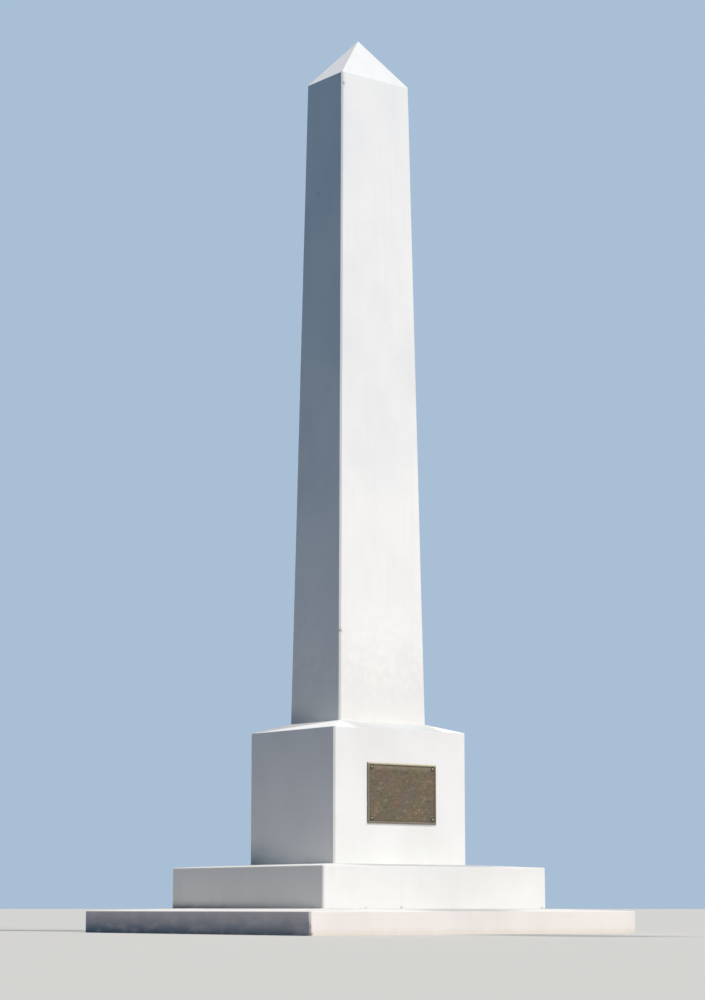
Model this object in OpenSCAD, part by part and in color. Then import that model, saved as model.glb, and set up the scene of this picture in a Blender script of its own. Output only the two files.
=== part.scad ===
// Obelisk of white-painted cast concrete on a die and two steps, with a bronze plaque on its front.
// The underside lies on z = 0, the z axis runs up through the point, and the plaque faces -Y.
// Most pieces are the overlap of their front elevation, their side elevation and their plan.

/* [Shaft] */
// Width of the shaft at its foot, along X
shaft_w = 1233; // [900:1:1600]
// Depth of the shaft at its foot, along Y
shaft_d = 911; // [700:1:1300]
// How far each face leans in from the foot of the shaft to its top
shaft_batter = 119.5; // [40:0.5:200]
// Height of one of the lifts in which the shaft was cast
lift_h = 1870; // [1000:5:2400]
// Height of the pyramidion above the shaft
pyramidion_h = 572; // [300:1:900]
// Width of the chamfers that strips in the formwork left on the upright arrises of the shaft,
// the die and the lower step
arris_w = 27; // [4:1:50]

/* [Die] */
// Height of the upright faces of the die
die_h = 1464; // [1200:1:2000]
// Rise of the sloping top of the die, up to the foot of the shaft
die_wash = 98; // [20:1:200]
// Width of the ledge round the shaft
die_ledge = 316; // [200:1:500]
// Radius of the top edge of the die
die_nosing = 8; // [3:1:40]

/* [Upper step] */
// Height of the upright faces of the upper step
upper_h = 447; // [250:1:700]
// Rise of the sloping top of the upper step, up to the die
upper_wash = 31; // [8:1:90]
// Width of the ledge round the die
upper_ledge = 624; // [250:1:900]
// Radius of the upright corners of the upper step
upper_corner = 30; // [10:1:120]
// Radius of the top edge of the upper step
upper_nosing = 16; // [6:1:100]

/* [Lower step] */
// Height of the upright faces of the lower step
lower_h = 241; // [120:1:500]
// Rise of the sloping top of the lower step, up to the upper step
lower_wash = 27; // [8:1:90]
// Width of the ledge round the upper step
lower_ledge = 698; // [250:1:1000]
// Radius of the top edge of the lower step
lower_nosing = 10; // [3:1:60]

/* [Plaque] */
// Width of the plaque
plaque_w = 966; // [600:1:1200]
// Height of the plaque
plaque_h = 660; // [400:1:900]
// Height of the centre of the plaque above the foot of the die
plaque_centre = 762; // [600:1:800]
// Thickness of the field of the plaque
plaque_t = 14; // [8:0.5:30]
// Height of the raised rim above the field
rim_h = 11; // [6:0.5:24]
// Width of the outer slope of the rim
rim_slope = 14; // [6:1:30]
// Width of the flat top of the rim
rim_flat = 6; // [3:1:16]
// Radius of the cove between the rim and the field
rim_cove = 7; // [3:0.5:12]
// Distance from the edge of the plaque to the centre of a bolt
bolt_inset = 52; // [48:1:90]

/* [Rosettes] */
// Diameter of a rosette
rosette_d = 38; // [24:1:50]
// Height of the dome of a rosette above its flange
dome_h = 9; // [4:0.5:16]
// Thickness of the flange of a rosette
flange_t = 3; // [1.5:0.5:6]
// Width of the flange round the dome
flange_w = 5; // [2:0.5:8]
// Diameter of the bolt shank behind a rosette
shank_d = 12; // [6:0.5:16]
// Depth of the bolt holes in the die
anchor_depth = 110; // [40:1:200]
// Gap round the shank and behind its end
shank_gap = 0.5; // [0.2:0.1:1.5]

/* [Hidden] */
$fn = 48;
// Overrun of a cutting shape past the face that it cuts
over = 10;
lift_count = 4;
shaft_h = lift_count * lift_h;
die_w = shaft_w + 2 * die_ledge;
die_d = shaft_d + 2 * die_ledge;
upper_w = die_w + 2 * upper_ledge;
upper_d = die_d + 2 * upper_ledge;
lower_w = upper_w + 2 * lower_ledge;
lower_d = upper_d + 2 * lower_ledge;
// Levels at which one piece stands on the next
upper_z = lower_h + lower_wash;
die_z = upper_z + upper_h + upper_wash;
shaft_z = die_z + die_h + die_wash;
pyramidion_z = shaft_z + shaft_h;
// Centre of the plaque on the front face of the die, and places of its bolts from there
plaque_y = -die_d / 2;
plaque_z = die_z + plaque_centre;
bolt_x = plaque_w / 2 - bolt_inset;
bolt_z = plaque_h / 2 - bolt_inset;
painted_concrete = [0.93, 0.92, 0.90];
bronze = [0.45, 0.41, 0.34];

// What is left of a full width of the shaft, at a height above its foot
function battered(width, height) = width - 2 * shaft_batter * height / shaft_h;

// Width across two opposite arrises of a w by d block, once each arris is chamfered
function across_arrises(w, d) = (w + d) / sqrt(2) - arris_w;

// Distance from a sharp edge, between an upright face and a slope, to the start of its nosing
function nosing_reach(r, slope) = r * tan(45 - slope / 2);

// Stands a flat elevation upright and gives it the thickness deep, centred on the y axis
module front_elevation(deep) {
    rotate([90, 0, 0]) linear_extrude(deep, center = true) children();
}

// The same for an elevation that is seen from the side
module side_elevation(deep) {
    rotate([90, 0, 90]) linear_extrude(deep, center = true) children();
}

// Straight-sided elevation, w0 wide at the bottom and w1 wide at the top
module batter_outline(w0, w1, h) {
    polygon([[-w0 / 2, 0], [w0 / 2, 0], [w1 / 2, h], [-w1 / 2, h]]);
}

// Elevation that runs to a point, w wide at the bottom
module point_outline(w, h) {
    polygon([[-w / 2, 0], [w / 2, 0], [0, h]]);
}

// Elevation of a tier: upright sides, a nosing of radius r, and a wash that rises to a level seat
module tier_outline(w, seat, h, wash, r) {
    slope = atan2(wash, (w - seat) / 2);
    // Centre of the nosing, and the point where it runs into the wash
    cx = w / 2 - r;
    cz = h - nosing_reach(r, slope);
    tx = cx + r * sin(slope);
    tz = cz + r * cos(slope);
    polygon([
        [-w / 2, 0], [w / 2, 0], [w / 2, cz], [cx, cz], [tx, tz], [seat / 2, h + wash],
        [-seat / 2, h + wash], [-tx, tz], [-cx, cz], [-w / 2, cz]
    ]);
    for (side = [-1, 1]) translate([side * cx, cz]) circle(r);
}

// Plan with chamfered corners
module chamfered_plan(w, d) {
    across = across_arrises(w, d);
    intersection() {
        square([w, d], center = true);
        rotate(45) square(across, center = true);
    }
}

// Plan with a corner radius of r
module round_plan(w, d, r) {
    square([w - 2 * r, d], center = true);
    square([w, d - 2 * r], center = true);
    for (x = [-1, 1], y = [-1, 1]) translate([x * (w / 2 - r), y * (d / 2 - r)]) circle(r);
}

// Tier on the plan that is its child, with a hipped wash up to a level seat of seat_w by seat_d
module tier(w, d, h, wash, seat_w, seat_d, nosing) {
    intersection() {
        front_elevation(d + over) tier_outline(w, seat_w, h, wash, nosing);
        side_elevation(w + over) tier_outline(d, seat_d, h, wash, nosing);
        linear_extrude(h + wash) children();
    }
}

module lower_step() {
    color(painted_concrete)
        tier(lower_w, lower_d, lower_h, lower_wash, upper_w, upper_d, lower_nosing)
            chamfered_plan(lower_w, lower_d);
}

module upper_step() {
    color(painted_concrete) translate([0, 0, upper_z])
        tier(upper_w, upper_d, upper_h, upper_wash, die_w, die_d, upper_nosing)
            round_plan(upper_w, upper_d, upper_corner);
}

module die() {
    color(painted_concrete) difference() {
        translate([0, 0, die_z])
            tier(die_w, die_d, die_h, die_wash, shaft_w, shaft_d, die_nosing)
                chamfered_plan(die_w, die_d);
        at_bolts() bolt_way(anchor_depth);
    }
}

// Lift of the shaft, counted from 1 at the foot
module shaft_lift(number) {
    bottom = (number - 1) * lift_h;
    top = number * lift_h;
    w = [battered(shaft_w, bottom), battered(shaft_w, top)];
    d = [battered(shaft_d, bottom), battered(shaft_d, top)];
    across = [across_arrises(w[0], d[0]), across_arrises(w[1], d[1])];
    deep = shaft_w + shaft_d;
    color(painted_concrete) translate([0, 0, shaft_z + bottom]) intersection() {
        front_elevation(deep) batter_outline(w[0], w[1], lift_h);
        side_elevation(deep) batter_outline(d[0], d[1], lift_h);
        rotate([0, 0, 45]) front_elevation(deep) batter_outline(across[0], across[1], lift_h);
        rotate([0, 0, -45]) front_elevation(deep) batter_outline(across[0], across[1], lift_h);
    }
}

module pyramidion() {
    w = battered(shaft_w, shaft_h);
    d = battered(shaft_d, shaft_h);
    deep = shaft_w + shaft_d;
    // The chamfers of the shaft run out in the foot of the sharp hips
    color(painted_concrete) translate([0, 0, pyramidion_z]) intersection() {
        front_elevation(deep) point_outline(w, pyramidion_h);
        side_elevation(deep) point_outline(d, pyramidion_h);
        linear_extrude(pyramidion_h) chamfered_plan(w, d);
    }
}

// Sets its children at the four bolts, with z pointing out of the face of the die
module at_bolts() {
    for (x = [-1, 1], z = [-1, 1]) at_bolt(x, z) children();
}

// Sets its children at one bolt: x is -1 on the left and 1 on the right, z is 1 at the top
module at_bolt(x, z) {
    translate([x * bolt_x, plaque_y, plaque_z + z * bolt_z]) rotate([90, 0, 0]) children();
}

// Way for a bolt, from depth behind the face of the die to in front of the plaque
module bolt_way(depth) {
    translate([0, 0, -depth]) cylinder(d = shank_d + 2 * shank_gap, h = depth + plaque_t + over);
}

// Elevation of the plaque with its rim at full height, seen edge on, w long
module plaque_outline(w) {
    polygon([
        [-w / 2, 0], [w / 2, 0], [w / 2, plaque_t], [w / 2 - rim_slope, plaque_t + rim_h],
        [rim_slope - w / 2, plaque_t + rim_h], [-w / 2, plaque_t]
    ]);
}

// Elevation of what is sunk inside the rim, with a cove along each side of the field, w long
module recess_outline(w) {
    difference() {
        translate([-w / 2, plaque_t]) square([w, rim_h + over]);
        for (side = [-1, 1]) translate([side * (w / 2 - rim_cove), plaque_t + rim_cove]) difference() {
            translate([side * rim_cove, -rim_cove]) square(2 * rim_cove, center = true);
            circle(rim_cove);
        }
    }
}

module plaque() {
    sunk = 2 * (rim_slope + rim_flat);
    color(bronze) translate([0, plaque_y, plaque_z]) rotate([90, 0, 0]) difference() {
        intersection() {
            front_elevation(plaque_h) plaque_outline(plaque_w);
            side_elevation(plaque_w) plaque_outline(plaque_h);
        }
        intersection() {
            front_elevation(plaque_h) recess_outline(plaque_w - sunk);
            side_elevation(plaque_w) recess_outline(plaque_h - sunk);
        }
        for (x = [-1, 1], y = [-1, 1]) translate([x * bolt_x, y * bolt_z]) bolt_way(over);
    }
}

// Bolt with a domed rosette on a flange, bedded on the field of the plaque
module rosette() {
    dome_r = rosette_d / 2 - flange_w;
    // Radius of the ball of which the dome is a cap
    ball_r = (dome_r * dome_r + dome_h * dome_h) / (2 * dome_h);
    shank = plaque_t + anchor_depth - shank_gap;
    color(bronze) translate([0, 0, plaque_t]) {
        rotate_extrude() {
            square([rosette_d / 2, flange_t]);
            translate([0, flange_t]) intersection() {
                translate([0, dome_h - ball_r]) circle(ball_r);
                square([dome_r, dome_h]);
            }
        }
        translate([0, 0, -shank]) cylinder(d = shank_d, h = shank);
    }
}

lower_step();
upper_step();
die();
shaft_lift(1);  // shaft_lift_1
shaft_lift(2);  // shaft_lift_2
shaft_lift(3);  // shaft_lift_3
shaft_lift(4);  // shaft_lift_4
pyramidion();
plaque();
at_bolt(-1, 1) rosette();  // rosette_top_left
at_bolt(1, 1) rosette();  // rosette_top_right
at_bolt(-1, -1) rosette();  // rosette_bottom_left
at_bolt(1, -1) rosette();  // rosette_bottom_right
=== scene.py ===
"""White-painted concrete obelisk with a blank bronze tablet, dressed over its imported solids."""

import logging
import math
from dataclasses import dataclass, replace
from enum import Enum

import bmesh
import bpy
from mathutils import Matrix, Vector, noise

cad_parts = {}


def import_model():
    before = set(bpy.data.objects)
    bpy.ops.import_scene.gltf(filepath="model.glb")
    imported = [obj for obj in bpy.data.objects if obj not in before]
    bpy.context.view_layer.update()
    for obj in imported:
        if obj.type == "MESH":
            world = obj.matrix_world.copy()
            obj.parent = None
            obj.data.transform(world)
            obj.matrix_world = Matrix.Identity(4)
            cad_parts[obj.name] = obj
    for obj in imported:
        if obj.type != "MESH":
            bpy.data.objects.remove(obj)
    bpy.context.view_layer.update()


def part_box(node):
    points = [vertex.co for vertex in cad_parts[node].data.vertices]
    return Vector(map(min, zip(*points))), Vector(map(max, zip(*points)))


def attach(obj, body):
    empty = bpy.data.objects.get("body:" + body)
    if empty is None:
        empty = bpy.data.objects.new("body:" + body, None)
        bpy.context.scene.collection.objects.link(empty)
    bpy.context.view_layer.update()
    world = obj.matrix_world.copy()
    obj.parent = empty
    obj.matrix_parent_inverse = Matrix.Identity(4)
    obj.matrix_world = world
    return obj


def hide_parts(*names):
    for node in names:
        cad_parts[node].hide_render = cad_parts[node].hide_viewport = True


LOG = logging.getLogger("obelisk")
MM = 0.001
BODY = "root"
# Reach of a corner that counts as sharp
SHARP = 1 * MM
# Points this close to a level count as on it, and points this close to each other as one
TOUCH = 0.1 * MM
WELD = 0.01 * MM
# Faces round a corner that is chamfered
CHAMFERED = 1
# Share of the full range that smooth noise is spread over, and how rough a material's noise is
NOISE_GAIN = 0.62
NOISE_ROUGHNESS = 0.55
# Sockets of a Mix node set to colours
MIX_A, MIX_B, MIX_OUT = 6, 7, 2

Socket = bpy.types.NodeSocket


class Layer(Enum):
    """Point attributes of a piece, for its finish to read."""

    WEAR = "wear"
    # Dirt at the foot and in the rim's groove and cove, and painted shade: a bluish damp tint at
    # the foot of the left and back faces, and round the foot of each rosette
    DIRT_AND_SHADE = "foot"
    SEAM = "seam"
    # Metal rubbed bright, and a painted highlight on what looks up
    RELIEF_AND_HIGHLIGHT = "relief_and_highlight"
    # Dust on the tops of the paint, which also tones them down as painted shade, and film on the
    # bronze's slopes that look down, partly painted shade
    DUST_AND_SHADE = "dust_and_shade"


class Slot(Enum):
    """Names of two material slots, which no piece is given here."""

    CONCRETE = "painted_concrete"
    BRONZE = "bronze"


def linear(colour: str) -> tuple[float, float, float, float]:
    """Turns an sRGB hex colour into the linear one that a shader takes.

    Args:
        colour: the colour as #RRGGBB.

    Returns:
        Red, green, blue and an alpha of 1.
    """
    parts = [int(colour[i:i + 2], 16) / 255 for i in (1, 3, 5)]
    red, green, blue = [c / 12.92 if c <= 0.04045 else ((c + 0.055) / 1.055) ** 2.4 for c in parts]
    return red, green, blue, 1.0


def clamp(value: float, low: float = 0.0, high: float = 1.0) -> float:
    """Keeps a value between two bounds."""
    return max(low, min(high, value))


def mottle(place: Vector, size: float, shift: float = 0.0) -> float:
    """Reads smooth noise at a place, with blotches about one size across, from 0 to 1."""
    return clamp(0.5 + NOISE_GAIN * noise.noise(place / size + Vector((shift, 2 * shift, 0.0))))


@dataclass(frozen=True)
class Outline:
    """Plan of a block at one level, in metres: a rectangle whose corners are cut or rounded off."""

    level: float
    width: float
    depth: float
    # How far the cut or the rounding of a corner reaches along each side
    corner: float

    def drawn_in(self, inset: float, level: float, corner: float) -> "Outline":
        """Returns the outline that lies inset inside this one on all sides."""
        return Outline(level, self.width - 2 * inset, self.depth - 2 * inset, corner)

    def towards(self, other: "Outline", part: float) -> "Outline":
        """Finds the outline that lies some part of the way to another one.

        Args:
            other: the outline at the end of the way.
            part: share of the way, from 0 to 1.

        Returns:
            The outline in between.
        """
        return Outline(
            self.level + part * (other.level - self.level),
            self.width + part * (other.width - self.width),
            self.depth + part * (other.depth - self.depth),
            self.corner + part * (other.corner - self.corner),
        )


@dataclass(frozen=True)
class Grading:
    """Spacing of the mesh along a run: even in the middle and closer towards both ends."""

    cell: float = 24 * MM
    fine: float = 8 * MM
    margin: float = 48 * MM

    def cuts(self, length: float) -> list[float]:
        """Places the cuts along a run.

        Args:
            length: length of the run in metres.

        Returns:
            Distances from the start of the run, without its two ends.
        """
        # A run with no room for a middle is fine all along
        if length < 3 * self.margin:
            count = max(1, round(length / self.fine))
            return [length * i / count for i in range(1, count)]
        count = round(self.margin / self.fine)
        start = [self.margin * i / count for i in range(1, count + 1)]
        inner = length - 2 * self.margin
        count = max(1, round(inner / self.cell))
        middle = [self.margin + inner * i / count for i in range(1, count)]
        return start + middle + [length - place for place in reversed(start)]


class Loft:
    """Skin that is drawn up ring by ring from a rectangle with cut or rounded corners."""

    def __init__(self, base: Outline, segments: int, grading: Grading) -> None:
        """Lays the bottom face and cuts up its rim.

        Args:
            base: plan of the bottom face.
            segments: faces round each corner, of which one makes a chamfer.
            grading: spacing of the cuts along the sides.
        """
        self.mesh = bmesh.new()
        self.now = base
        self.grading = grading
        bmesh.ops.create_grid(self.mesh, x_segments=1, y_segments=1, size=0.5)
        bmesh.ops.scale(self.mesh, vec=(base.width, base.depth, 1.0), verts=self.mesh.verts)
        bmesh.ops.translate(self.mesh, vec=(0.0, 0.0, base.level), verts=self.mesh.verts)
        bmesh.ops.bevel(self.mesh, geom=self.mesh.verts[:], affect="VERTICES",
                        offset=base.corner, offset_type="OFFSET", segments=segments,
                        profile=0.5, material=-1)
        # Every side is far longer than the faces round a corner
        for side in [edge for edge in self.mesh.edges if edge.calc_length() > 4 * base.corner]:
            self._cut_up(side)
        self.ring = self.mesh.edges[:]

    def _cut_up(self, side: bmesh.types.BMEdge) -> None:
        """Cuts one straight side of the rim at the graded places.

        Args:
            side: the edge, which becomes the last of the pieces.
        """
        length = side.calc_length()
        near = side.verts[0]
        done = 0.0
        for place in self.grading.cuts(length):
            near = bmesh.utils.edge_split(side, near, (place - done) / (length - done))[1]
            done = place

    def _carry(self, place: float, span: float, goal: float, corner: float) -> float:
        """Moves a place across the last ring to its counterpart across the next one.

        Args:
            place: the place along x or y, counted from the middle.
            span: width or depth of the last ring.
            goal: width or depth of the next ring.
            corner: reach of the next ring's corners.

        Returns:
            The new place, where the sides stretch and the corners take their new size.
        """
        core = span / 2 - self.now.corner
        kept = clamp(place, -core, core)
        return kept / core * (goal / 2 - corner) + (place - kept) / self.now.corner * corner

    def rise(self, target: Outline) -> None:
        """Adds one row of faces.

        Args:
            target: outline that the row reaches up to.
        """
        drawn = bmesh.ops.extrude_edge_only(self.mesh, edges=self.ring)["geom"]
        edges = [item for item in drawn if isinstance(item, bmesh.types.BMEdge)]
        self.ring = [edge for edge in edges if edge.is_boundary]
        for vert in [item for item in drawn if isinstance(item, bmesh.types.BMVert)]:
            vert.co = Vector((
                self._carry(vert.co.x, self.now.width, target.width, target.corner),
                self._carry(vert.co.y, self.now.depth, target.depth, target.corner),
                target.level,
            ))
        self.now = target

    def climb(self, target: Outline) -> None:
        """Adds graded rows of faces that rise in one slope.

        Args:
            target: outline that the last row reaches up to.
        """
        start = self.now
        lean = max(start.width - target.width, start.depth - target.depth) / 2
        run = math.hypot(target.level - start.level, lean)
        for place in self.grading.cuts(run) + [run]:
            self.rise(start.towards(target, place / run))

    def close(self) -> bmesh.types.BMesh:
        """Closes the top and turns all faces outwards.

        Returns:
            The closed mesh.
        """
        bmesh.ops.edgeloop_fill(self.mesh, edges=self.ring)
        bmesh.ops.recalc_face_normals(self.mesh, faces=self.mesh.faces)
        return self.mesh


def make_piece(name: str, mesh: bmesh.types.BMesh, finish: bpy.types.Material,
               nodes: tuple[str, ...], crease: float) -> bpy.types.Object:
    """Turns a mesh into a finished piece that stands for its nodes of the frame.

    Args:
        name: name of the piece.
        mesh: the mesh, which is used up.
        finish: its material.
        nodes: nodes that it replaces.
        crease: degrees between two faces from which their edge looks sharp.

    Returns:
        The new object, at the origin and unturned.
    """
    data = bpy.data.meshes.new(name)
    for face in mesh.faces:
        face.smooth = True
    mesh.to_mesh(data)
    mesh.free()
    data.set_sharp_from_angle(angle=math.radians(crease))
    data.materials.append(finish)
    piece = bpy.data.objects.new(name, data)
    bpy.context.scene.collection.objects.link(piece)
    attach(piece, BODY)
    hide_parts(*nodes)
    LOG.info("%s: %d faces", name, len(data.polygons))
    return piece


@dataclass(frozen=True)
class Scar:
    """Local damage: a rounded hollow in the concrete round a place, in metres."""

    place: tuple[float, float, float]
    reach: float
    depth: float

    def share(self, place: Vector) -> float:
        """Returns how much of the full depth the hollow has at a place."""
        gone = (place - Vector(self.place)).length / self.reach
        return (1 - gone * gone) ** 2 if gone < 1 else 0.0


@dataclass(frozen=True)
class Weathering:
    """Unevenness, wear and chips of a pour, all cut inwards from the true shape, in metres."""

    # Slow waviness that the formwork and the trowel left, as depth and width
    swell: float = 1.6 * MM
    swell_size: float = 0.85
    ripple: float = 0.35 * MM
    ripple_size: float = 0.16
    ripple_shift: float = 3.1
    # Wear of the upright arrises: how deep and how far in it goes, its least share, and how long
    # its stronger and weaker stretches are
    rub: float = 1.2 * MM
    rub_reach: float = 14 * MM
    rub_least: float = 0.35
    rub_size: float = 0.07
    rub_shift: float = 7.7
    # Trace of a joint between lifts
    seam: float = 0.4 * MM
    seam_reach: float = 9 * MM
    # Nothing is worn under the block above, and full wear is this far from it
    seat_reach: float = 0.04
    # Dust, which also tones the tops down as painted shade, lies where the surface looks up, from
    # the first of these shares of level to the second
    level_from: float = 0.8
    level_full: float = 0.92
    # A dark, bluish damp tint at the foot of the faces that never dry, which is painted shade as
    # much as dirt: how high it climbs, how fast it thins out, and how much of it is left at their
    # sunny end. Below 0 it ends before that
    foot_reach: float = 80 * MM
    foot_thinning: float = 1.5
    foot_end: float = 0.4
    # The concrete is wholly bare in a scar from this share of its depth on
    bare_from: float = 0.5
    scars: tuple[Scar, ...] = ()


@dataclass
class Pour:
    """One pour of painted concrete: a closed block that rises through a few outlines."""

    node: str
    outlines: list[Outline]
    segments: int
    weather: Weathering
    grading: Grading
    # Radius of the nosing round the second outline, or 0 where that edge has none
    nosing: float = 0.0
    nosing_rows: int = 6
    # Levels of the joints between lifts
    seams: tuple[float, ...] = ()
    # Whether the foot takes the damp tint, which is partly painted shade
    stands: bool = True
    # Degrees between two faces from which their edge looks sharp
    crease: float = 20.0

    def outline_at(self, level: float) -> Outline:
        """Works out the true outline at a level.

        Args:
            level: height above the ground.

        Returns:
            The outline, without nosing or wear.
        """
        low, high = self.outlines[0], self.outlines[-1]
        for below, above in zip(self.outlines, self.outlines[1:]):
            if level <= above.level or above is self.outlines[-1]:
                low, high = below, above
                break
        return low.towards(high, clamp((level - low.level) / (high.level - low.level)))

    def arris_distance(self, place: Vector) -> float:
        """Measures how far a place is from the nearest arris.

        Args:
            place: a place on the true shape.

        Returns:
            The distance from the arris's chamfer, or from the hip where the faces lean in.
        """
        here = self.outline_at(place.z)
        within = max(here.width / 2 - abs(place.x), here.depth / 2 - abs(place.y))
        return max(0.0, within - here.corner)

    def seat_distance(self, place: Vector) -> float:
        """Measures in plan how far a place is from the seat of the block above.

        Args:
            place: a place on the true shape.

        Returns:
            The distance, which is endless where the block has no wash.
        """
        if not self.nosing:
            return math.inf
        seat = self.outlines[-1]
        return max(0.0, abs(place.x) - seat.width / 2, abs(place.y) - seat.depth / 2)

    def raise_block(self) -> bmesh.types.BMesh:
        """Lofts the true shape.

        Returns:
            The closed mesh before any wear.
        """
        loft = Loft(self.outlines[0], self.segments, self.grading)
        if not self.nosing:
            for outline in self.outlines[1:]:
                loft.climb(outline)
            return loft.close()
        _, brink, seat = self.outlines
        wash = math.atan2(seat.level - brink.level, (brink.width - seat.width) / 2)
        # Centre of the nosing's arc, which ends where it runs into the wash
        centre = brink.level - self.nosing * math.tan(math.pi / 4 - wash / 2)
        loft.climb(replace(brink, level=centre))
        # An upright chamfer is cut back twice as fast as a rounding that follows the nosing
        loss = 2 if self.segments == CHAMFERED else 1
        for i in range(1, self.nosing_rows + 1):
            turn = i / self.nosing_rows * (math.pi / 2 - wash)
            inset = self.nosing * (1 - math.cos(turn))
            corner = max(seat.corner, brink.corner - loss * inset)
            loft.rise(brink.drawn_in(inset, centre + self.nosing * math.sin(turn), corner))
        # The corner closes up to the sharp hip of the wash
        rest = loft.now.corner - seat.corner
        if rest > 0:
            loft.rise(loft.now.drawn_in(rest, loft.now.level + rest * math.tan(wash), seat.corner))
        loft.climb(seat)
        return loft.close()

    def weather_block(self, mesh: bmesh.types.BMesh) -> None:
        """Cuts unevenness, worn arrises, joints and scars into the block, and notes where they are.

        Args:
            mesh: the true shape, which is changed.
        """
        wear, foot, seam, dust_and_shade = (mesh.verts.layers.float.new(layer.value)
                                  for layer in (Layer.WEAR, Layer.DIRT_AND_SHADE, Layer.SEAM, Layer.DUST_AND_SHADE))
        look = self.weather
        bottom, top = self.outlines[0].level, self.outlines[-1].level
        mesh.normal_update()
        for vert in mesh.verts:
            place = vert.co.copy()
            inward = -vert.normal
            if min(place.z - bottom, top - place.z) < TOUCH:
                inward = Vector((inward.x, inward.y, 0.0)).normalized()
            joint = min((abs(place.z - level) for level in self.seams), default=math.inf)
            grooved = clamp(1 - joint / look.seam_reach)
            cuts = [(scar.share(place), scar.depth) for scar in look.scars]
            depth = self._unevenness(place) + look.seam * grooved
            depth += sum(share * full for share, full in cuts)
            held = clamp(self.seat_distance(place) / look.seat_reach)
            vert.co = place + held * depth * inward
            vert[wear] = clamp(max((share for share, _ in cuts), default=0.0) / look.bare_from)
            vert[seam] = grooved
            # Dust where the surface looks up, which also tones the tops down: partly painted shade
            tilt = vert.normal.z - look.level_from
            vert[dust_and_shade] = clamp(tilt / (look.level_full - look.level_from))
            # Damp tint at the foot of the left and back faces: painted shade as much as dirt
            if self.stands:
                vert[foot] = self._foot_damp_and_shade(place, vert.normal)

    def _unevenness(self, place: Vector) -> float:
        """Works out how deep waviness and worn arrises cut in.

        Args:
            place: a place on the true shape.

        Returns:
            The depth in metres.
        """
        look = self.weather
        depth = look.swell * mottle(place, look.swell_size)
        depth += look.ripple * mottle(place, look.ripple_size, look.ripple_shift)
        rubbed_metal_and_highlight = clamp(1 - self.arris_distance(place) / look.rub_reach)
        uneven = mottle(place, look.rub_size, look.rub_shift)
        return depth + look.rub * rubbed_metal_and_highlight * (look.rub_least + (1 - look.rub_least) * uneven)

    def _foot_damp_and_shade(self, place: Vector, normal: Vector) -> float:
        """Works out the damp tint, partly painted shade, at the foot of the left and back faces.

        Args:
            place: a place on the true shape.
            normal: direction in which the surface looks there.

        Returns:
            The share of the tint, from 0 to 1.
        """
        look = self.weather
        # The tint grows from the front towards the back of the block: painted shade
        away = clamp(0.5 + place.y / self.outlines[0].depth)
        damp_and_shade = clamp(max(-normal.x, normal.y)) * (look.foot_end + (1 - look.foot_end) * away)
        climbed = (place.z - self.outlines[0].level) / look.foot_reach
        return max(0.0, damp_and_shade) * clamp(1 - climbed) ** look.foot_thinning

    def make(self, finish: bpy.types.Material) -> bpy.types.Object:
        """Lofts, weathers and dresses the block.

        Args:
            finish: its paint.

        Returns:
            The finished piece.
        """
        mesh = self.raise_block()
        self.weather_block(mesh)
        name = f"{self.node}_cast"
        return make_piece(name, mesh, finish, (self.node,), self.crease)


def add_node(tree: bpy.types.NodeTree, kind: str, inputs: dict | None = None,
             **settings: object) -> bpy.types.Node:
    """Adds one node to a tree, with its settings and links.

    Args:
        tree: tree of a material or a world.
        kind: type name of the node.
        inputs: for a socket's name or number, either its value or the output that feeds it.
        settings: properties of the node.

    Returns:
        The new node.
    """
    node = tree.nodes.new(kind)
    for name, value in settings.items():
        setattr(node, name, value)
    for name, value in (inputs or {}).items():
        if isinstance(value, Socket):
            tree.links.new(value, node.inputs[name])
        else:
            node.inputs[name].default_value = value
    return node


@dataclass(frozen=True)
class Pattern:
    """Noise that is laid over a surface, and the part of it that becomes a factor."""

    # Width of a mark in metres
    size: float
    # Values of the noise from which the factor rises and at which it is full
    low: float = 0.0
    high: float = 1.0
    # The factor where it is full, and where it hasn't risen yet
    most: float = 1.0
    least: float = 0.0
    # Octaves of the noise, and how many times longer a mark is along x, y and z
    detail: float = 3.0
    stretch: tuple[float, float, float] = (1.0, 1.0, 1.0)
    # Moves the pattern, so that two of them don't coincide
    shift: float = 0.0

    def at(self, most: float, least_share: float = 0.0) -> "Pattern":
        """Returns the pattern at another strength, with its least as a share of its most."""
        return replace(self, most=most, least=least_share * most)


# What a coat of colour shows by: a pattern, a point attribute, or a factor that is ready
Share = Pattern | Layer | Socket | float


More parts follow.
